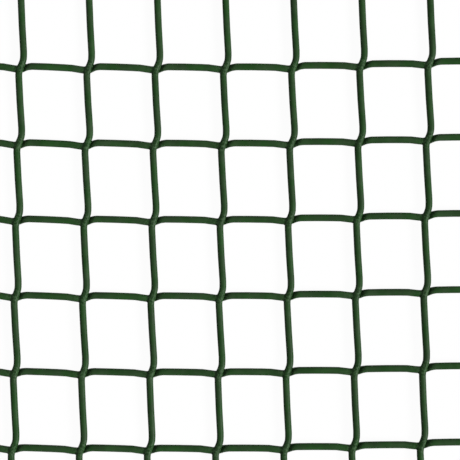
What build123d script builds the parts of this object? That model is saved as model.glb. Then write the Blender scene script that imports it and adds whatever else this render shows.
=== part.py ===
# Plastic garden mesh: a flat sheet of extruded square net, laid on its underside.
# Lengthwise strands run along Y on top, cross strands run along X below them, and the two are one
# piece of plastic wherever they cross. The sheet is a row of equal sections that join end to end.
# Millimetres. X is the width of the sheet, Y its length, Z is up, the underside is at Z = 0 and the
# middle of the sheet is at X = 0, Y = 0.
import os
from math import cos, pi

from build123d import *

os.makedirs("parts", exist_ok=True)

# the grid of windows
window_width = 17.88        # from one lengthwise strand to the next
window_length = 20.0        # from one cross strand to the next
strand_count = 28           # lengthwise strands in the width of the sheet
section_rows = 10           # cross strands in one section
section_count = 5           # sections in the length of the sheet

# the square sections of the strands, and how far the two levels run into each other
lengthwise_width = 1.7
lengthwise_height = 1.7
cross_width = 1.7
cross_height = 1.7
fused_depth = 0.8

# a lengthwise strand drifts sideways between crossings and jogs back at each one
jog_shift = 1.2             # sideways, to the right on the way up the sheet
jog_length = 3.1

# a cross strand falls slowly to its lowest point just before a crossing and rises sharply under it
dip_depth = 0.8
dip_lead = 0.5              # from the lowest point to the middle of the lengthwise strand
dip_fall = 6.2
dip_rise = 2.6

# the cross strands sag along the sheet, least at its edges and most at its middle
bow_depth = 4.2             # each way from the level course

sheet_width = strand_count * window_width
section_length = section_rows * window_length

# limits that keep every bend inside its own window and every cut clear of a bend
bow = min(bow_depth, 0.25 * window_length)
jog = min(jog_length, 0.25 * window_length)
fall = min(dip_fall, 0.42 * window_width - dip_lead)
rise = min(dip_rise, 0.42 * window_width + dip_lead)
overlap = min(fused_depth, 0.8 * cross_height, 0.8 * lengthwise_height)


def sag(x):
    """How far a cross strand stands off its level course at x."""
    return -bow * cos(2 * pi * x / sheet_width)


def lengthwise_course(x):
    """Middle line of the lengthwise strand whose crossings lie at x, from cut to cut."""
    drift = jog_shift / (window_length - jog)
    at_cut = jog_shift / 2 - drift * (window_length / 2 - sag(x) - jog / 2)
    points = [(x + at_cut, -section_length / 2)]
    for row in range(section_rows):
        y = (row + 0.5) * window_length - section_length / 2 + sag(x)
        points += [(x - jog_shift / 2, y - jog / 2), (x + jog_shift / 2, y + jog / 2)]
    return points + [(x + at_cut, section_length / 2)]


def cross_course(y):
    """Middle line of the cross strand on row y, from edge to edge of the sheet."""
    points = [(-sheet_width / 2, y + sag(sheet_width / 2))]
    for x in columns:
        low = x - dip_lead
        points += [(low - fall, y + sag(low - fall)), (low, y + sag(low) - dip_depth)]
        points += [(low + rise, y + sag(low + rise))]
    return points + [(sheet_width / 2, y + sag(sheet_width / 2))]


def strand(points, aside, height):
    """A bar along the points, its two long sides moved apart by the vector aside."""
    one_side = [(x - aside[0], y - aside[1]) for x, y in points]
    other_side = [(x + aside[0], y + aside[1]) for x, y in points]
    outline = Polyline(one_side + other_side[::-1], close=True)
    return extrude(make_face(outline), height).solid()


columns = [(i + 0.5) * window_width - sheet_width / 2 for i in range(strand_count)]
rows = [(i + 0.5) * window_length - section_length / 2 for i in range(section_rows)]

lengthwise = [strand(lengthwise_course(x), (lengthwise_width / 2, 0), lengthwise_height) for x in columns]
raised = [bar.moved(Location((0, 0, cross_height - overlap))) for bar in lengthwise]
across = [strand(cross_course(y), (0, cross_width / 2), cross_height) for y in rows]

section = raised[0].fuse(*raised[1:], *across).solid()

for number in range(section_count):
    y = (number - (section_count - 1) / 2) * section_length
    placed = section.moved(Location((0, y, 0)))
    export_step(placed, f"parts/mesh_section_{number + 1}.step", write_pcurves=False)
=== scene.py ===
"""The look of a flat sheet of extruded garden mesh, dressed on its frame of five equal net sections.

+Y runs along the sheet, +X across it and +Z up, with the underside at Z = 0. The net's own sizes are in
millimetres and become metres when its mesh is made; the studio and the camera are in metres.
"""

import logging
import math
from dataclasses import dataclass, field
from enum import Enum

import bmesh
import bpy
import numpy as np
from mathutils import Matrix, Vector


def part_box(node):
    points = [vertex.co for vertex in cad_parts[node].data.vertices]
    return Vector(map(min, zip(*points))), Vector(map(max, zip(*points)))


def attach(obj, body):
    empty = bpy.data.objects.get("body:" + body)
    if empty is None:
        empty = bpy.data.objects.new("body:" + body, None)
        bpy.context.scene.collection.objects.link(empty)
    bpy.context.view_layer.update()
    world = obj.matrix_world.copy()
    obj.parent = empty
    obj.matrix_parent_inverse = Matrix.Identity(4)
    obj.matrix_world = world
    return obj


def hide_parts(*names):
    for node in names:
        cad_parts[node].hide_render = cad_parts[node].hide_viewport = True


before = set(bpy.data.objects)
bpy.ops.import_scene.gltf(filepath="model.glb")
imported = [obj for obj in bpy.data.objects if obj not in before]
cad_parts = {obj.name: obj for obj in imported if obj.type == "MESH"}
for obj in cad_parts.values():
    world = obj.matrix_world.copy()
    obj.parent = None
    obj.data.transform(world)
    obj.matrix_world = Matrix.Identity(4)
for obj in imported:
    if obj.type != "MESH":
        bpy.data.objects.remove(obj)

MM = 0.001
log = logging.getLogger("garden_mesh")

Bends = tuple[tuple[float, float], ...]
Colour = tuple[float, float, float]
Cell = tuple[int, int]
Value = bpy.types.NodeSocket | float | tuple[float, ...]


class Level(Enum):
    """The two levels of strands in the net, each with the first number of its strands."""

    LENGTHWISE = 0
    ACROSS = 40


class StrandEnd(Enum):
    """How a strand ends at the edge of a section."""

    JOINED = "runs on into the next section"
    CUT = "trimmed with shears at the edge of the sheet"


class Arm(Enum):
    """The four arms of a crossing."""

    NEAR = "towards -Y"
    FAR = "towards +Y"
    LEFT = "towards -X"
    RIGHT = "towards +X"


def eased(start: float, stop: float, value: np.ndarray) -> np.ndarray:
    """Rise smoothly from 0 at start to 1 at stop.

    Args:
        start: Where the rise begins.
        stop: Where the rise ends.
        value: The places to read it at.

    Returns:
        One number from 0 to 1 for each place.
    """
    t = np.clip((value - start) / (stop - start), 0.0, 1.0)
    return t * t * (3.0 - 2.0 * t)


def repeated_line(places: np.ndarray, bends: Bends, pitch: float, rounding: float,
                  samples: int = 15) -> np.ndarray:
    """Read a line that bends the same way round every crossing, its corners rounded by a moving mean.

    Args:
        places: Where along the line to read it.
        bends: Place and offset of each corner round a crossing.
        pitch: The distance from one crossing to the next.
        rounding: The length over which the mean is taken.
        samples: How many readings make the mean.

    Returns:
        The line's offset at each place.
    """
    corners = [(turn * pitch + place, offset) for turn in (-1, 0, 1) for place, offset in bends]
    knots, offsets = zip(*corners)
    steps = (np.arange(samples) + 0.5) / samples - 0.5
    return np.mean([np.interp(places + step * rounding, knots, offsets) for step in steps], axis=0)


@dataclass(frozen=True)
class NetGrid:
    """Where the crossings of the sheet lie."""

    sheet_width: float
    section_length: float
    strand_count: int = 28
    section_rows: int = 10
    sag_depth: float = 4.2

    @property
    def window_width(self) -> float:
        """Pitch of the lengthwise strands."""
        return self.sheet_width / self.strand_count

    @property
    def window_length(self) -> float:
        """Pitch of the cross strands."""
        return self.section_length / self.section_rows

    def columns(self) -> np.ndarray:
        """Places of the lengthwise strands across the sheet."""
        return (np.arange(self.strand_count) + 0.5) * self.window_width - self.sheet_width / 2

    def rows(self, low: float) -> np.ndarray:
        """Level places of the cross strands in the section that begins at low."""
        return low + (np.arange(self.section_rows) + 0.5) * self.window_length

    def sag(self, x: np.ndarray | float) -> np.ndarray | float:
        """How far the net is drawn along the sheet at x: towards -Y in its middle, +Y at its edges."""
        return -self.sag_depth * np.cos(2 * math.pi * x / self.sheet_width)


@dataclass(frozen=True)
class LengthwiseCourse:
    """The middle line of a lengthwise strand round one crossing, which lies at the origin."""

    grid: NetGrid
    bends: Bends = (
        (-10.5, 0.03), (-2.8, -0.49), (-1.7, -0.52), (-0.62, -0.27), (1.6, 0.53), (3.7, 0.525))
    rounding: float = 1.5
    top: float = 2.6

    def line(self, y: np.ndarray) -> np.ndarray:
        """X and Y of the strand's line, which drifts back between crossings and jogs at each one."""
        return np.stack([repeated_line(y, self.bends, self.grid.window_length, self.rounding), y], axis=-1)

    def crest(self, y: np.ndarray) -> np.ndarray:
        """Height of the strand's crest, which is level."""
        return np.full_like(y, self.top)


@dataclass(frozen=True)
class CrossCourse:
    """The middle line of a cross strand round one crossing, which lies at the origin."""

    grid: NetGrid
    bends: Bends = (
        (-7.0, -0.15), (-4.6, -0.24), (-1.4, -0.72), (-0.4, -0.78), (0.5, -0.62), (1.1, -0.28), (2.0, -0.08),
        (3.4, 0.06))
    heights: Bends = (
        (-5.0, 2.25), (-1.4, 2.12), (-0.6, 1.88), (0.2, 1.66), (0.7, 1.52), (1.8, 2.42), (2.4, 2.54),
        (5.0, 2.57))
    rounding: float = 1.1
    crest_rounding: float = 0.6

    def line(self, x: np.ndarray) -> np.ndarray:
        """X and Y of the strand's line, which falls towards each crossing and rises under it."""
        return np.stack([x, repeated_line(x, self.bends, self.grid.window_width, self.rounding)], axis=-1)

    def crest(self, x: np.ndarray) -> np.ndarray:
        """Height of the strand's crest, which dives where it comes out from under the lengthwise strand."""
        return repeated_line(x, self.heights, self.grid.window_width, self.crest_rounding)


@dataclass(frozen=True)
class Strand:
    """A strand with a rounded section, laid along a course.

    A squareness of 2 makes the section an ellipse and more makes it squarer. The lean is how far along the
    strand its dive moves for each millimetre to its side.
    """

    level: Level
    course: LengthwiseCourse | CrossCourse
    half_width: float = 0.93
    half_height: float = 0.85
    squareness: float = 2.0
    lean: float = 0.0
    sides: int = 12
    half_span: float = 6.0
    span_marks: int = 241
    nudge: float = 0.001

    def _middle(self, points: np.ndarray, line: np.ndarray) -> np.ndarray:
        """Find the height of the strand's middle under points of its skin, where its dive leans to one side.

        Args:
            points: X and Y of the points.
            line: X and Y of the strand's line beside each of them.

        Returns:
            One height for each point.
        """
        along = 1 if self.level is Level.LENGTHWISE else 0
        place = points[..., along] - self.lean * (points[..., 1 - along] - line[..., 1 - along])
        return self.course.crest(place) - self.half_height

    def rings(self, stations: np.ndarray) -> tuple[np.ndarray, np.ndarray]:
        """Make one ring of points at each station.

        Args:
            stations: Places along the strand.

        Returns:
            The points, and each one's place on the skin: how far it is aside and up, in parts of the strand's
            half width and half height, and the length along the strand.
        """
        line = self.course.line(stations)
        along = self.course.line(stations + self.nudge) - self.course.line(stations - self.nudge)
        along /= np.linalg.norm(along, axis=1)[:, None]
        aside = np.stack([-along[:, 1], along[:, 0]], axis=-1)
        angle = (np.arange(self.sides) + 0.5) * 2 * math.pi / self.sides
        round_share = 2.0 / self.squareness
        wide = np.sign(np.cos(angle)) * np.abs(np.cos(angle)) ** round_share
        high = np.sign(np.sin(angle)) * np.abs(np.sin(angle)) ** round_share
        plan = line[:, None] + self.half_width * wide[None, :, None] * aside[:, None]
        height = self._middle(plan, line[:, None]) + self.half_height * high
        skin = np.stack(np.broadcast_arrays(wide, high, np.asarray(stations)[:, None]), axis=-1).copy()
        return np.concatenate([plan, height[..., None]], axis=-1), skin

    def outside(self, points: np.ndarray) -> tuple[np.ndarray, np.ndarray]:
        """Tell how far points lie outside the strand's skin, near the crossing.

        Args:
            points: The points to test.

        Returns:
            A distance for each point, negative inside, and its place on the skin as rings gives it.
        """
        stations = np.linspace(-self.half_span, self.half_span, self.span_marks)
        line, spots = self.course.line(stations), points[:, :2]
        nearest = np.linalg.norm(spots[:, None] - line[None], axis=2).argmin(axis=1)
        best, aside, place = np.full(len(spots), np.inf), np.zeros(len(spots)), np.zeros(len(spots))
        for first in (np.clip(nearest - 1, 0, len(line) - 2), np.clip(nearest, 0, len(line) - 2)):
            run = line[first + 1] - line[first]
            t = np.clip(((spots - line[first]) * run).sum(1) / (run * run).sum(1), 0.0, 1.0)
            offset = spots - line[first] - t[:, None] * run
            gap = np.linalg.norm(offset, axis=1)
            nearer = gap < best
            best = np.where(nearer, gap, best)
            side = np.sign(run[:, 0] * offset[:, 1] - run[:, 1] * offset[:, 0])
            aside = np.where(nearer, side * gap, aside)
            place = np.where(nearer, stations[first] + t * (stations[1] - stations[0]), place)
        up = points[:, 2] - self._middle(spots, self.course.line(place))
        skin = np.stack([aside / self.half_width, up / self.half_height, place], axis=-1)
        reach = (np.abs(skin[:, :2]) ** self.squareness).sum(1) ** (1 / self.squareness)
        return (reach - 1.0) * self.half_width, skin


@dataclass
class CrossingStamp:
    """The finished mesh of one crossing, ready to be set down all over the net."""

    points: np.ndarray
    faces: list[list[int]]
    skin: np.ndarray
    joint: np.ndarray
    on_top: np.ndarray
    arms: dict[Arm, np.ndarray]


@dataclass(frozen=True)
class Crossing:
    """One fused crossing: a bent strand over another, with webs drawn across the corners on its left.

    The webs narrow from web_left to web_right over web_change each way. Points within web_reach of both
    strands and left of web_side are spread evenly.
    """

    over: Strand
    under: Strand
    over_rings: tuple[float, ...] = (
        -2.8, -2.2, -1.7, -1.25, -0.85, -0.45, 0.0, 0.5, 1.0, 1.5, 2.1, 3.0)
    under_rings: tuple[float, ...] = (
        -2.1, -1.6, -1.2, -0.8, -0.2, 0.35, 0.8, 1.15, 1.45, 1.75, 2.1, 2.45, 2.9)
    merge: float = 0.18
    web_left: float = 0.4
    web_right: float = 0.05
    web_change: float = 0.6
    web_reach: float = 0.5
    web_side: float = 0.1
    rounds: int = 8
    evening: float = 0.5
    settling_steps: int = 2
    longest_step: float = 0.4
    cap_slack: float = 0.1
    nudge: float = 0.001
    worked: tuple[float, float] = (1.3, 2.8)
    worked_middle: float = -0.4

    def _capped_tube(self, strand: Strand, stations: tuple[float, ...]) -> bpy.types.Object:
        """Make a closed tube along a strand.

        Args:
            strand: The strand to follow.
            stations: The places of its rings.

        Returns:
            A scratch object that holds the tube.
        """
        points, _ = strand.rings(np.array(stations))
        sides, count = strand.sides, len(stations)
        faces = [[ring * sides + i, ring * sides + (i + 1) % sides,
                  (ring + 1) * sides + (i + 1) % sides, (ring + 1) * sides + i]
                 for ring in range(count - 1) for i in range(sides)]
        faces += [list(range(sides))[::-1], [(count - 1) * sides + i for i in range(sides)]]
        mesh = bpy.data.meshes.new("crossing_tube")
        mesh.from_pydata(points.reshape(-1, 3).tolist(), [], faces)
        tube = bpy.data.objects.new("crossing_tube", mesh)
        bpy.context.scene.collection.objects.link(tube)
        return tube

    def _union(self) -> bmesh.types.BMesh:
        """Join the two tubes into one skin with sharp corners.

        Returns:
            The skin, with the tubes' caps still on its arms.
        """
        over = self._capped_tube(self.over, self.over_rings)
        under = self._capped_tube(self.under, self.under_rings)
        join = over.modifiers.new("join", "BOOLEAN")
        join.operation, join.solver, join.object = "UNION", "EXACT", under
        evaluated = over.evaluated_get(bpy.context.evaluated_depsgraph_get())
        mesh = bpy.data.meshes.new_from_object(evaluated)
        skin = bmesh.new()
        skin.from_mesh(mesh)
        for tube in (over, under):
            data = tube.data
            bpy.data.objects.remove(tube)
            bpy.data.meshes.remove(data)
        bpy.data.meshes.remove(mesh)
        return skin

    def _field(self, points: np.ndarray) -> np.ndarray:
        """Tell how far points lie outside the drawn skin, whose webs are wider on the left than on the right.

        Args:
            points: The points to test.

        Returns:
            A distance for each point, negative inside.
        """
        over, under = self.over.outside(points)[0], self.under.outside(points)[0]
        rightward = eased(-self.web_change, self.web_change, points[:, 0])
        web = self.web_left + (self.web_right - self.web_left) * rightward
        blend = np.clip(0.5 + 0.5 * (under - over) / web, 0.0, 1.0)
        return under * (1 - blend) + over * blend - web * blend * (1 - blend)

    def _slope(self, points: np.ndarray) -> np.ndarray:
        """Find the direction in which the field grows at each point, and how steeply.

        Args:
            points: The points to test.

        Returns:
            One vector for each point.
        """
        step = self.nudge
        return np.stack([self._field(points + step * axis) - self._field(points - step * axis)
                         for axis in np.eye(3)], axis=-1) / (2 * step)

    def _settle(self, points: np.ndarray, free: np.ndarray) -> None:
        """Move points straight onto the drawn skin.

        Args:
            points: The points, moved in place.
            free: Which of them may move.
        """
        for _ in range(self.settling_steps):
            slope = self._slope(points)
            move = -(self._field(points) / (slope ** 2).sum(1))[:, None] * slope
            points[free] += np.clip(move, -self.longest_step, self.longest_step)[free]

    def build(self) -> CrossingStamp:
        """Join the strands, draw the corners into webs and even out the faces there.

        Returns:
            The mesh of the crossing, with its four open arms.
        """
        skin = self._union()
        open_ends = [face for face in skin.faces if self._closes_an_arm(face)]
        bmesh.ops.delete(skin, geom=open_ends, context="FACES_ONLY")
        bmesh.ops.remove_doubles(skin, verts=skin.verts, dist=self.merge)
        bmesh.ops.triangulate(skin, faces=[face for face in skin.faces if len(face.verts) > 4])
        skin.verts.index_update()
        skin.verts.ensure_lookup_table()
        points = np.array([vert.co[:] for vert in skin.verts])
        free = np.array([not vert.is_boundary for vert in skin.verts])
        around = [[edge.other_vert(vert).index for edge in vert.link_edges] for vert in skin.verts]
        self._draw_webs(points, free, around)
        faces = [[vert.index for vert in face.verts] for face in skin.faces]
        skin.free()
        return self._stamp(points, faces, np.flatnonzero(~free))

    def _draw_webs(self, points: np.ndarray, free: np.ndarray, around: list[list[int]]) -> None:
        """Draw the skin into webs, spread their points evenly and flatten what would reach below the ground.

        Args:
            points: The points of the crossing, moved in place.
            free: Which of them may move.
            around: The numbers of each point's neighbours.
        """
        gaps = [np.abs(strand.outside(points)[0]) for strand in (self.over, self.under)]
        in_web = free & (np.maximum(*gaps) < self.web_reach) & (points[:, 0] < self.web_side)
        for _ in range(self.rounds):
            normal = self._slope(points)
            normal /= np.linalg.norm(normal, axis=1)[:, None]
            drift = np.array([points[ring].mean(axis=0) for ring in around]) - points
            drift -= (drift * normal).sum(1)[:, None] * normal
            points[in_web] += self.evening * drift[in_web]
            self._settle(points, free)
        points[:, 2] = np.maximum(points[:, 2], 0.0)

    def _closes_an_arm(self, face: bmesh.types.BMFace) -> bool:
        """Tell whether a face is the flat cap at the end of an arm.

        Args:
            face: The face to test.

        Returns:
            Whether its middle is at the end of either strand.
        """
        middle, slack = face.calc_center_median(), self.cap_slack
        return (middle.y < self.over_rings[0] + slack or middle.y > self.over_rings[-1] - slack
                or middle.x < self.under_rings[0] + slack or middle.x > self.under_rings[-1] - slack)

    def _stamp(self, points: np.ndarray, faces: list[list[int]], rim: np.ndarray) -> CrossingStamp:
        """Find the open rings of the arms and each point's place on its strand.

        Args:
            points: The points of the crossing.
            faces: Its faces, as lists of point numbers.
            rim: The numbers of the points on open edges.

        Returns:
            The finished stamp.
        """
        ends = {Arm.NEAR: (self.over, self.over_rings[0]), Arm.FAR: (self.over, self.over_rings[-1]),
                Arm.LEFT: (self.under, self.under_rings[0]), Arm.RIGHT: (self.under, self.under_rings[-1])}
        arms = {}
        for arm, (strand, station) in ends.items():
            ring = strand.rings(np.array([station]))[0][0]
            gaps = np.linalg.norm(points[rim][None] - ring[:, None], axis=2)
            arms[arm] = rim[gaps.argmin(axis=1)]
        over_gap, over_skin = self.over.outside(points)
        under_gap, under_skin = self.under.outside(points)
        on_top = over_gap <= under_gap
        skin = np.where(on_top[:, None], over_skin, under_skin)
        from_middle = np.hypot(points[:, 0], points[:, 1] - self.worked_middle)
        joint = 1.0 - eased(*self.worked, from_middle)
        return CrossingStamp(points, faces, skin, joint, on_top, arms)


@dataclass(frozen=True)
class Unevenness:
    """The small wandering of a net that was drawn warm from its die."""

    grid: NetGrid
    sideways: float = 0.05
    thickness: float = 0.012
    waves: int = 7
    shortest: float = 22.0
    longest: float = 95.0
    window_drift: float = 0.12
    drifting_windows: int = 30
    steady_share: float = 0.38
    seed: int = 694
    row_seed: int = 21355
    column_seed: int = 11313

    def _drift(self, seed: int, places: np.ndarray, pitch: float) -> np.ndarray:
        """Tell how far whole rows or columns of windows are drawn aside, as one throw of the die made them.

        Args:
            seed: The seed of that row or column drift.
            places: Places across the rows or columns.
            pitch: The distance from one to the next.

        Returns:
            A push for each place, even along a window and eased across the crossings.
        """
        windows = np.arange(-self.drifting_windows, self.drifting_windows + 1)
        pushes = np.random.default_rng(seed).normal(0.0, self.window_drift, len(windows))
        ends = (windows[:, None] + np.array([-self.steady_share, self.steady_share])).ravel()
        return np.interp(places / pitch, ends, np.repeat(pushes, 2))

    def apply(self, points: np.ndarray, skin: np.ndarray, half_height: float) -> np.ndarray:
        """Move points a little aside and swell the strands a little.

        Args:
            points: The points of a section, in the sheet's own place.
            skin: Their places on the strands' skins.
            half_height: Half the height of a strand.

        Returns:
            The moved points.
        """
        chance = np.random.default_rng(self.seed)
        moved = points.copy()
        for _ in range(self.waves):
            length = chance.uniform(self.shortest, self.longest)
            heading = chance.uniform(0, 2 * math.pi)
            phases = chance.uniform(0, 2 * math.pi, 3)
            pushes = chance.normal(0.0, 1.0, 3) / math.sqrt(self.waves)
            along = points[:, 0] * math.cos(heading) + points[:, 1] * math.sin(heading)
            angle = 2 * math.pi * along / length
            moved[:, 0] += self.sideways * pushes[0] * np.sin(angle + phases[0])
            moved[:, 1] += self.sideways * pushes[1] * np.sin(angle + phases[1])
            swell = self.thickness * pushes[2] * np.sin(angle + phases[2])
            moved[:, 2] += half_height * swell * skin[:, 1]
        level = points[:, 1] - self.grid.sag(points[:, 0])
        moved[:, 0] += self._drift(self.row_seed, level, self.grid.window_length)
        moved[:, 1] += self._drift(self.column_seed, points[:, 0], self.grid.window_width)
        return moved


@dataclass
class MeshParts:
    """The growing lists of a section's mesh."""

    points: list[np.ndarray] = field(default_factory=list)
    skins: list[np.ndarray] = field(default_factory=list)
    joints: list[np.ndarray] = field(default_factory=list)
    strands: list[np.ndarray] = field(default_factory=list)
    faces: list[list[int]] = field(default_factory=list)
    end_faces: list[list[int]] = field(default_factory=list)
    count: int = 0

    def add(self, points: np.ndarray, skin: np.ndarray, joint: np.ndarray, strand: np.ndarray) -> np.ndarray:
        """Take in new points.

        Args:
            points: The points.
            skin: Their places on the strand's skin.
            joint: How near each is to a fused joint, 0 to 1.
            strand: The number of the strand that each belongs to.

        Returns:
            The numbers that the points got.
        """
        numbers = np.arange(self.count, self.count + len(points))
        self.points.append(points)
        self.skins.append(skin)
        self.joints.append(joint)
        self.strands.append(strand)
        self.count += len(points)
        return numbers

    def chain(self, rings: list[np.ndarray]) -> None:
        """Close the bands between rings that follow one another along a strand.

        Args:
            rings: The point numbers of each ring.
        """
        for first, second in zip(rings, rings[1:]):
            corners = [first, np.roll(first, -1), np.roll(second, -1), second]
            self.faces += np.stack(corners, axis=-1).tolist()


@dataclass(frozen=True)
class Spot:
    """One crossing's place in the sheet, and the numbers of the two strands that meet there."""

    column: float
    row: float
    column_number: int
    row_number: int

    def number(self, level: Level) -> int:
        """Number of the strand of that level."""
        return level.value + (self.column_number if level is Level.LENGTHWISE else self.row_number)

    def start(self, level: Level) -> float:
        """Where the crossing lies along the strand of that level."""
        return self.row if level is Level.LENGTHWISE else self.column


@dataclass
class SetDown:
    """A crossing that has been set down in a section: its place and the point numbers of its open arms."""

    spot: Spot
    arms: dict[Arm, np.ndarray]


@dataclass(frozen=True)
class NetSection:
    """One section of the net: its crossings, the runs between them and the ends of its strands."""

    name: str
    number: int
    low: float
    high: float
    near_end: StrandEnd
    far_end: StrandEnd
    grid: NetGrid
    crossing: Crossing
    unevenness: Unevenness
    long_run: tuple[float, ...] = (3.9, 10.5)
    cross_run: tuple[float, ...] = (7.0, 11.0, 13.3)
    end_clearance: float = 1.0
    bevel: float = 0.12
    trim: float = 0.5
    trim_tilt: float = 0.12
    trim_seed: int = 100
    crease: float = 48.0

    def _settled(self, points: np.ndarray, spot: Spot) -> np.ndarray:
        """Move points from the crossing's own place to their place in the sheet, drawn along by its sag.

        Args:
            points: The points, counted from the crossing.
            spot: The crossing that they belong to.

        Returns:
            The moved points.
        """
        moved = points + np.array([spot.column, spot.row, 0.0])
        moved[:, 1] += self.grid.sag(moved[:, 0])
        return moved

    def _run(self, parts: MeshParts, strand: Strand, spot: Spot, stations: list[float]) -> list[np.ndarray]:
        """Set down rings of a strand.

        Args:
            parts: The mesh to add to.
            strand: The strand that runs there.
            spot: The crossing that the stations are counted from.
            stations: Places of the rings along the strand.

        Returns:
            The point numbers of each ring.
        """
        numbers = []
        for ring, marks in zip(*strand.rings(np.array(stations))):
            marks[:, 2] += spot.start(strand.level)
            own = np.full(len(ring), float(spot.number(strand.level)))
            numbers.append(parts.add(self._settled(ring, spot), marks, np.zeros(len(ring)), own))
        return numbers

    def _finish_strand(self, parts: MeshParts, strand: Strand, spot: Spot, arm: np.ndarray, station: float,
                       end: StrandEnd, edge: float, chance: np.random.Generator) -> None:
        """Run a strand out to the edge of the section and close it there.

        Args:
            parts: The mesh to add to.
            strand: The strand that ends there.
            spot: The last crossing on the way out.
            arm: The open ring of that crossing.
            station: Place of the edge along the strand, counted from the crossing.
            end: Whether the strand is cut there.
            edge: Place of the edge in the sheet.
            chance: The source of small differences between cuts.
        """
        outward = math.copysign(1.0, station)
        lengthwise = strand.level is Level.LENGTHWISE
        pitch = self.grid.window_length if lengthwise else self.grid.window_width
        inner = self.long_run if lengthwise else self.cross_run
        if outward < 0:
            inner = tuple(place - pitch for place in reversed(inner))
        stations = [place for place in inner if abs(place) < abs(station) - self.end_clearance]
        axis = 1 if lengthwise else 0
        if end is StrandEnd.CUT:
            station -= outward * chance.uniform(0.0, self.trim)
            stations.append(station - outward * self.bevel)
        rings = [arm, *self._run(parts, strand, spot, [*stations, station])]
        points, marks = parts.points[-1], parts.skins[-1]
        if end is StrandEnd.CUT:
            middle = points.mean(axis=0)
            points[:] = middle + (points - middle) * (1.0 - self.bevel / strand.half_width)
            points[:, axis] += marks[:, :2] @ chance.normal(0.0, self.trim_tilt, 2)
        else:
            points[:, axis] = edge
        parts.chain(rings if outward > 0 else rings[::-1])
        parts.end_faces.append(rings[-1].tolist() if outward > 0 else rings[-1][::-1].tolist())

    def build(self, stamp: CrossingStamp) -> MeshParts:
        """Set down every crossing of the section and run the strands between them.

        Args:
            stamp: The mesh of one crossing.

        Returns:
            The mesh of the section.
        """
        parts, net = MeshParts(), {}
        for i, column in enumerate(self.grid.columns()):
            for j, row in enumerate(self.grid.rows(self.low)):
                spot = Spot(column, row, i, self.number * self.grid.section_rows + j)
                skin = stamp.skin.copy()
                skin[:, 2] += np.where(stamp.on_top, row, column)
                own = np.where(stamp.on_top, spot.number(Level.LENGTHWISE), spot.number(Level.ACROSS))
                numbers = parts.add(self._settled(stamp.points, spot), skin, stamp.joint, own.astype(float))
                parts.faces += [[int(numbers[0]) + index for index in face] for face in stamp.faces]
                net[i, j] = SetDown(spot, {arm: numbers[0] + ring for arm, ring in stamp.arms.items()})
        self._run_between(parts, net)
        self._run_out(parts, net)
        return parts

    def _run_between(self, parts: MeshParts, net: dict[Cell, SetDown]) -> None:
        """Join each crossing to the next one along and the next one across.

        Args:
            parts: The mesh to add to.
            net: The crossings of the section, by column and row.
        """
        for (i, j), here in net.items():
            if (i, j + 1) in net:
                rings = self._run(parts, self.crossing.over, here.spot, list(self.long_run))
                parts.chain([here.arms[Arm.FAR], *rings, net[i, j + 1].arms[Arm.NEAR]])
            if (i + 1, j) in net:
                rings = self._run(parts, self.crossing.under, here.spot, list(self.cross_run))
                parts.chain([here.arms[Arm.RIGHT], *rings, net[i + 1, j].arms[Arm.LEFT]])

    def _run_out(self, parts: MeshParts, net: dict[Cell, SetDown]) -> None:
        """Run the strands from the outermost crossings to the edges of the section.

        Args:
            parts: The mesh to add to.
            net: The crossings of the section, by column and row.
        """
        chance = np.random.default_rng(self.trim_seed + self.number)
        over, under = self.crossing.over, self.crossing.under
        half_width, half_window = self.grid.sheet_width / 2, self.grid.window_width / 2
        last_column, last_row = self.grid.strand_count - 1, self.grid.section_rows - 1
        for (i, j), here in net.items():
            place = here.spot.row + float(self.grid.sag(here.spot.column))
            ways = [
                (j == 0, over, Arm.NEAR, self.low - place, self.near_end, self.low),
                (j == last_row, over, Arm.FAR, self.high - place, self.far_end, self.high),
                (i == 0, under, Arm.LEFT, -half_window, StrandEnd.CUT, -half_width),
                (i == last_column, under, Arm.RIGHT, half_window, StrandEnd.CUT, half_width)]
            for outermost, strand, arm, station, end, edge in ways:
                if outermost:
                    self._finish_strand(parts, strand, here.spot, here.arms[arm], station, end, edge, chance)

    def make(self, stamp: CrossingStamp, finishes: list[bpy.types.Material]) -> bpy.types.Object:
        """Build the section's object and dress it.

        Args:
            stamp: The mesh of one crossing.
            finishes: The finish of the strands and the finish of their cut ends.

        Returns:
            The finished piece.
        """
        parts = self.build(stamp)
        points, skin = np.concatenate(parts.points), np.concatenate(parts.skins)
        points = self.unevenness.apply(points, skin, self.crossing.over.half_height)
        mesh = bpy.data.meshes.new(self.name)
        mesh.from_pydata((points * MM).tolist(), [], parts.faces + parts.end_faces)
        flat = np.arange(len(mesh.polygons)) >= len(parts.faces)
        mesh.polygons.foreach_set("use_smooth", ~flat)
        mesh.polygons.foreach_set("material_index", flat.astype(np.int32))
        mesh.attributes.new("skin", "FLOAT_VECTOR", "POINT").data.foreach_set("vector", skin.ravel())
        for name, values in (("joint", parts.joints), ("strand", parts.strands)):
            mesh.attributes.new(name, "FLOAT", "POINT").data.foreach_set("value", np.concatenate(values))
        for finish in finishes:
            mesh.materials.append(finish)
        mesh.set_sharp_from_angle(angle=math.radians(self.crease))
        mesh.validate()
        piece = bpy.data.objects.new(self.name, mesh)
        bpy.context.scene.collection.objects.link(piece)
        return piece


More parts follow.
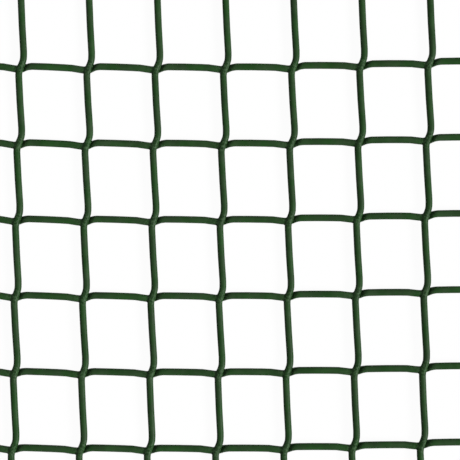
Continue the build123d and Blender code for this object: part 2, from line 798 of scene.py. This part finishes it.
class Graph:
    """A node tree that is put together one node at a time."""

    def __init__(self, tree: bpy.types.NodeTree) -> None:
        """Keep the tree to build in."""
        self.tree = tree

    def feed(self, target: bpy.types.NodeSocket, value: Value) -> None:
        """Join a socket to another one, or set it to a plain value.

        Args:
            target: The socket to feed.
            value: The socket to join it to, or a number, a colour without its alpha or a vector.
        """
        if isinstance(value, bpy.types.NodeSocket):
            self.tree.links.new(value, target)
        elif target.type == "RGBA":
            target.default_value = (*value, 1.0)
        else:
            target.default_value = value

    def add(self, kind: str, inputs: dict[int | str, Value] | None = None,
            **settings: str | bpy.types.NodeTree) -> bpy.types.Node:
        """Add a node, set it up and feed its inputs.

        Args:
            kind: The kind of shader node.
            inputs: What goes into each input.
            settings: The node's own choices.

        Returns:
            The node.
        """
        node = self.tree.nodes.new("ShaderNode" + kind)
        for name, value in settings.items():
            setattr(node, name, value)
        for name, value in (inputs or {}).items():
            self.feed(node.inputs[name], value)
        return node

    def math(self, operation: str, *values: Value) -> bpy.types.NodeSocket:
        """Work out a number from others."""
        return self.add("Math", dict(enumerate(values)), operation=operation).outputs[0]

    def ramp(self, value: Value, start: float, stop: float, low: float = 0.0,
             high: float = 1.0) -> bpy.types.NodeSocket:
        """Carry a number from one span to another, held at the ends."""
        inputs = {"Value": value, "From Min": start, "From Max": stop, "To Min": low, "To Max": high}
        return self.add("MapRange", inputs).outputs["Result"]

    def mix(self, share: Value, first: Value, second: Value, how: str = "MIX") -> bpy.types.NodeSocket:
        """Blend two colours."""
        return self.add("Mix", {0: share, 6: first, 7: second}, data_type="RGBA", blend_type=how).outputs[2]


def new_finish(name: str) -> tuple[bpy.types.Material, Graph, bpy.types.Node]:
    """Start a material.

    Args:
        name: The name of the material.

    Returns:
        The material, its graph and its shader.
    """
    material = bpy.data.materials.new(name)
    material.use_nodes = True
    return material, Graph(material.node_tree), material.node_tree.nodes["Principled BSDF"]


@dataclass(frozen=True)
class DrawnSkin:
    """The marks of a die on drawn plastic, as one group of nodes for every finish of the net."""

    name: str = "drawn_skin"
    streaks_round: float = 5.0
    streak_stretch: float = 0.09
    streak_detail: float = 3.0
    strand_step: float = 3.7
    tone_scale: float = 230.0
    tone_detail: float = 3.0
    tone_grain: float = 0.65
    dust_span: tuple[float, float] = (0.36, 0.64)
    mottle_scale: float = 1900.0
    mottle_detail: float = 2.0
    mottle_grain: float = 0.4
    pale_span: tuple[float, float] = (0.47, 0.60)
    dark_span: tuple[float, float] = (0.48, 0.62)
    mark_relief: float = 0.5

    def group(self) -> bpy.types.ShaderNodeTree:
        """Build the group, or find it again.

        Returns:
            A group that puts out fine streaks along the strand, a slow drift of tone, how dusty the skin is,
            a fine mottle, the pale and the dark marks where strands are fused, and a height for relief.
        """
        if self.name in bpy.data.node_groups:
            return bpy.data.node_groups[self.name]
        tree = bpy.data.node_groups.new(self.name, "ShaderNodeTree")
        scale = tree.interface.new_socket("Mottle Scale", in_out="INPUT", socket_type="NodeSocketFloat")
        scale.default_value = self.mottle_scale
        inside = tree.nodes.new("NodeGroupInput")
        results = self._marks(Graph(tree), inside.outputs["Mottle Scale"])
        for label in results:
            tree.interface.new_socket(label, in_out="OUTPUT", socket_type="NodeSocketFloat")
        outside = tree.nodes.new("NodeGroupOutput")
        for label, value in results.items():
            tree.links.new(value, outside.inputs[label])
        return tree

    def _marks(self, graph: Graph, mottle_scale: bpy.types.NodeSocket) -> dict[str, bpy.types.NodeSocket]:
        """Put the marks together.

        Args:
            graph: The group's graph.
            mottle_scale: How fine the mottle is.

        Returns:
            What the group puts out, by name.
        """
        skin = graph.add("Attribute", attribute_name="skin")
        joint = graph.add("Attribute", attribute_name="joint").outputs["Fac"]
        strand = graph.add("Attribute", attribute_name="strand").outputs["Fac"]
        place = graph.add("TexCoord").outputs["Object"]
        stretch = (self.streaks_round, self.streaks_round, self.streak_stretch)
        drawn = graph.add("VectorMath", {0: skin.outputs["Vector"], 1: stretch}, operation="MULTIPLY")
        lines = graph.add("TexNoise", {
            "Vector": drawn.outputs[0], "W": graph.math("MULTIPLY", strand, self.strand_step),
            "Scale": 1.0, "Detail": self.streak_detail}, noise_dimensions="4D").outputs["Fac"]
        clear = graph.math("SUBTRACT", 1.0, joint)
        streaks = graph.math("MULTIPLY_ADD", graph.math("SUBTRACT", lines, 0.5), clear, 0.5)
        tone = graph.add("TexNoise", {
            "Vector": place, "W": strand, "Scale": self.tone_scale, "Detail": self.tone_detail,
            "Roughness": self.tone_grain}, noise_dimensions="4D").outputs
        dust = graph.add("SeparateColor", {"Color": tone["Color"]}).outputs[1]
        mottle = graph.add("TexNoise", {
            "Vector": place, "Scale": mottle_scale, "Detail": self.mottle_detail,
            "Roughness": self.mottle_grain}).outputs
        kinds = graph.add("SeparateColor", {"Color": mottle["Color"]}).outputs
        pale = graph.math("MULTIPLY", graph.ramp(kinds[0], *self.pale_span), joint)
        dark = graph.math("MULTIPLY", graph.ramp(kinds[1], *self.dark_span), joint)
        relief = graph.math("MULTIPLY", graph.math("SUBTRACT", pale, dark), self.mark_relief)
        return {"Streaks": streaks, "Tone": tone["Fac"], "Dust": graph.ramp(dust, *self.dust_span),
                "Mottle": mottle["Fac"], "Pale Marks": pale, "Dark Marks": dark,
                "Height": graph.math("ADD", streaks, relief)}


@dataclass(frozen=True)
class StrandPlastic:
    """Dark green polyethylene with the soft sheen of a drawn strand."""

    name: str = "green_plastic"
    deep: Colour = (0.0168, 0.0460, 0.0141)
    pale: Colour = (0.0254, 0.0695, 0.0213)
    tone_share: float = 0.6
    tone_span: tuple[float, float] = (0.40, 0.60)
    clean: Colour = (0.74, 1.0, 0.72)
    dusty: Colour = (1.26, 1.0, 1.28)
    bloom: Colour = (0.057, 0.115, 0.050)
    bloom_share: float = 0.72
    pit: Colour = (0.006, 0.022, 0.005)
    pit_share: float = 0.65
    roughness: float = 0.39
    roughness_drift: float = 0.08
    specular: float = 0.06
    bump_strength: float = 0.6
    bump_height: float = 0.04 * MM

    def make(self) -> bpy.types.Material:
        """Build the finish.

        Returns:
            The material of the strands.
        """
        material, graph, shader = new_finish(self.name)
        marks = graph.add("Group", node_tree=DrawnSkin().group()).outputs
        streaks = graph.math("MULTIPLY", marks["Streaks"], 1.0 - self.tone_share)
        shade = graph.math("MULTIPLY_ADD", marks["Tone"], self.tone_share, streaks)
        tone = graph.mix(graph.ramp(shade, *self.tone_span), self.deep, self.pale)
        tint = graph.mix(marks["Dust"], self.clean, self.dusty)
        tone = graph.mix(1.0, tone, tint, "MULTIPLY")
        tone = graph.mix(graph.math("MULTIPLY", marks["Pale Marks"], self.bloom_share), tone, self.bloom)
        tone = graph.mix(graph.math("MULTIPLY", marks["Dark Marks"], self.pit_share), tone, self.pit)
        graph.feed(shader.inputs["Base Color"], tone)
        low, high = self.roughness - self.roughness_drift, self.roughness + self.roughness_drift
        graph.feed(shader.inputs["Roughness"], graph.ramp(marks["Streaks"], 0.0, 1.0, low, high))
        shader.inputs["Specular IOR Level"].default_value = self.specular
        relief = graph.add("Bump", {
            "Strength": self.bump_strength, "Distance": self.bump_height, "Height": marks["Height"]})
        graph.feed(shader.inputs["Normal"], relief.outputs["Normal"])
        return material


@dataclass(frozen=True)
class CutPlastic:
    """The same plastic where shears went through it: paler, and dull."""

    name: str = "green_plastic_cut"
    body: Colour = (0.045, 0.095, 0.038)
    torn: Colour = (0.085, 0.140, 0.075)
    mottle_scale: float = 1400.0
    roughness: float = 0.7
    bump_strength: float = 0.8
    bump_height: float = 0.08 * MM

    def make(self) -> bpy.types.Material:
        """Build the finish.

        Returns:
            The material of the cut ends.
        """
        material, graph, shader = new_finish(self.name)
        marks = graph.add("Group", node_tree=DrawnSkin().group())
        graph.feed(marks.inputs["Mottle Scale"], self.mottle_scale)
        mottle = marks.outputs["Mottle"]
        graph.feed(shader.inputs["Base Color"], graph.mix(mottle, self.body, self.torn))
        relief = graph.add("Bump", {
            "Strength": self.bump_strength, "Distance": self.bump_height, "Height": mottle})
        graph.feed(shader.inputs["Normal"], relief.outputs["Normal"])
        shader.inputs["Roughness"].default_value = self.roughness
        return material


@dataclass(frozen=True)
class Net:
    """The whole sheet: five sections that share one crossing."""

    section_names: tuple[str, ...]
    cross_squareness: float = 2.5
    cross_lean: float = 0.6

    def _grid(self) -> NetGrid:
        """Read the sheet's width and the sections' length from the frame."""
        low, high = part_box(self.section_names[0])
        return NetGrid(sheet_width=(high.x - low.x) / MM, section_length=(high.y - low.y) / MM)

    def _crossing(self, grid: NetGrid) -> Crossing:
        """Lay a lengthwise strand over a cross strand.

        Args:
            grid: The grid that their courses follow.

        Returns:
            The crossing, not yet built.
        """
        under = Strand(Level.ACROSS, CrossCourse(grid), squareness=self.cross_squareness,
                       lean=self.cross_lean)
        return Crossing(over=Strand(Level.LENGTHWISE, LengthwiseCourse(grid)), under=under)

    def build(self) -> list[bpy.types.Object]:
        """Build every section, dressed and riding on the frame.

        Returns:
            The finished pieces, from the near end of the sheet to its far end.
        """
        grid = self._grid()
        crossing = self._crossing(grid)
        stamp = crossing.build()
        log.info("crossing: %d points, %d triangles", len(stamp.points),
                 sum(len(face) - 2 for face in stamp.faces))
        finishes = [StrandPlastic().make(), CutPlastic().make()]
        last = len(self.section_names) - 1
        pieces = []
        for number, name in enumerate(self.section_names):
            low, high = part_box(name)
            section = NetSection(
                name=name.replace("mesh", "net"), number=number, low=low.y / MM, high=high.y / MM,
                near_end=StrandEnd.CUT if number == 0 else StrandEnd.JOINED,
                far_end=StrandEnd.CUT if number == last else StrandEnd.JOINED,
                grid=grid, crossing=crossing, unevenness=Unevenness(grid))
            piece = section.make(stamp, finishes)
            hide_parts(name)
            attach(piece, "root")
            pieces.append(piece)
            log.info("%s: %d triangles", piece.name,
                     sum(len(face.vertices) - 2 for face in piece.data.polygons))
        return pieces


@dataclass(frozen=True)
class Studio:
    """A plain white floor under soft light that comes from the right and a little from the near side."""

    floor_side: float = 8.0
    floor_drop: float = 0.02 * MM
    floor_tone: float = 0.5
    white: float = 0.965
    shadow_share: float = 0.038
    key_strength: float = 3.85
    key_spread: float = 20.0
    key_height: float = 36.0
    key_heading: float = -15.0
    key_distance: float = 3.0
    sky: float = 0.2

    def _seen(self, graph: Graph) -> bpy.types.NodeSocket:
        """Tell the rays of the eye and of gloss from the rays that carry light.

        Args:
            graph: The graph to build in.

        Returns:
            1 for what is seen or mirrored, and 0 for light.
        """
        rays = graph.add("LightPath").outputs
        mirrored = graph.math("MAXIMUM", rays["Is Glossy Ray"], rays["Is Transmission Ray"])
        return graph.math("MAXIMUM", rays["Is Camera Ray"], mirrored)

    def _floor_finish(self) -> bpy.types.Material:
        """Make a pale floor that shows white, keeps the shadow of the net and is clear from below.

        Returns:
            The material of the floor.
        """
        material, graph, shader = new_finish("studio_floor")
        material.node_tree.nodes.remove(shader)
        plain = graph.add("BsdfDiffuse", {"Color": (self.floor_tone,) * 3})
        thin = graph.add("BsdfDiffuse", {"Color": (self.shadow_share,) * 3})
        glow = graph.add("Emission", {"Strength": self.white})
        shown = graph.add("AddShader", {0: thin.outputs[0], 1: glow.outputs[0]})
        upper = graph.add("MixShader", {0: self._seen(graph), 1: plain.outputs[0], 2: shown.outputs[0]})
        under = graph.add("NewGeometry").outputs["Backfacing"]
        clear = graph.add("BsdfTransparent")
        sheet = graph.add("MixShader", {0: under, 1: upper.outputs[0], 2: clear.outputs[0]})
        output = material.node_tree.nodes["Material Output"]
        graph.feed(output.inputs["Surface"], sheet.outputs[0])
        return material

    def _floor(self) -> None:
        """Lay the floor just under the net."""
        half = self.floor_side / 2
        mesh = bpy.data.meshes.new("studio_floor")
        corners = [(-half, -half, 0.0), (half, -half, 0.0), (half, half, 0.0), (-half, half, 0.0)]
        mesh.from_pydata(corners, [], [(0, 1, 2, 3)])
        mesh.materials.append(self._floor_finish())
        floor = bpy.data.objects.new("studio_floor", mesh)
        floor.location.z = -self.floor_drop
        bpy.context.scene.collection.objects.link(floor)

    def _lamp(self) -> None:
        """Hang one wide soft lamp, far enough away to light the whole sheet evenly."""
        lamp = bpy.data.lights.new("key_lamp", "SUN")
        lamp.energy = self.key_strength
        lamp.angle = math.radians(self.key_spread)
        holder = bpy.data.objects.new("key_lamp", lamp)
        heading, height = math.radians(self.key_heading), math.radians(self.key_height)
        toward = Vector((math.cos(heading) * math.cos(height), math.sin(heading) * math.cos(height),
                         math.sin(height)))
        holder.rotation_euler = toward.to_track_quat("Z", "Y").to_euler()
        holder.location = toward * self.key_distance
        bpy.context.scene.collection.objects.link(holder)

    def _room(self) -> None:
        """Fill the room with dim even light, behind which its walls show white."""
        world = bpy.data.worlds.new("studio_room")
        world.use_nodes = True
        graph = Graph(world.node_tree)
        walls = world.node_tree.nodes["Background"]
        graph.feed(walls.inputs["Color"], (1.0, 1.0, 1.0))
        graph.feed(walls.inputs["Strength"], graph.ramp(self._seen(graph), 0.0, 1.0, self.sky, 1.0))
        bpy.context.scene.world = world

    def build(self) -> None:
        """Set up the floor, the lamp and the room."""
        self._floor()
        self._lamp()
        self._room()


@dataclass(frozen=True)
class PhotoCamera:
    """A long lens that looks straight down on a few windows of the net."""

    target: tuple[float, float, float] = (46.75 * MM, 3.68 * MM, 1.6 * MM)
    view_width: float = 120.67 * MM
    turn: float = 0.0185
    lens: float = 135.0
    sensor: float = 36.0
    clip: tuple[float, float] = (0.01, 60.0)

    def build(self) -> bpy.types.Object:
        """Make the scene's camera.

        Returns:
            The camera.
        """
        data = bpy.data.cameras.new("photo_camera")
        data.lens, data.sensor_width = self.lens, self.sensor
        data.clip_start, data.clip_end = self.clip
        camera = bpy.data.objects.new("photo_camera", data)
        distance = self.view_width * self.lens / self.sensor
        camera.location = Vector(self.target) + Vector((0.0, 0.0, distance))
        camera.rotation_euler = (0.0, 0.0, self.turn)
        bpy.context.scene.collection.objects.link(camera)
        bpy.context.scene.camera = camera
        return camera


def main() -> None:
    """Build the net, the studio and the camera, and log the triangle counts of the crossing and sections and
    the camera's height.
    """
    logging.basicConfig(level=logging.INFO, format="%(name)s: %(message)s")
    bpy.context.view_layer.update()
    names = tuple(sorted(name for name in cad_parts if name.startswith("mesh_section")))
    Net(names).build()
    Studio().build()
    log.info("studio: floor, key lamp and room light")
    camera = PhotoCamera().build()
    log.info("camera: %.3f m above the sheet", camera.location.z)
    bpy.context.scene.view_settings.view_transform = "Standard"


if __name__ == "__main__":
    main()
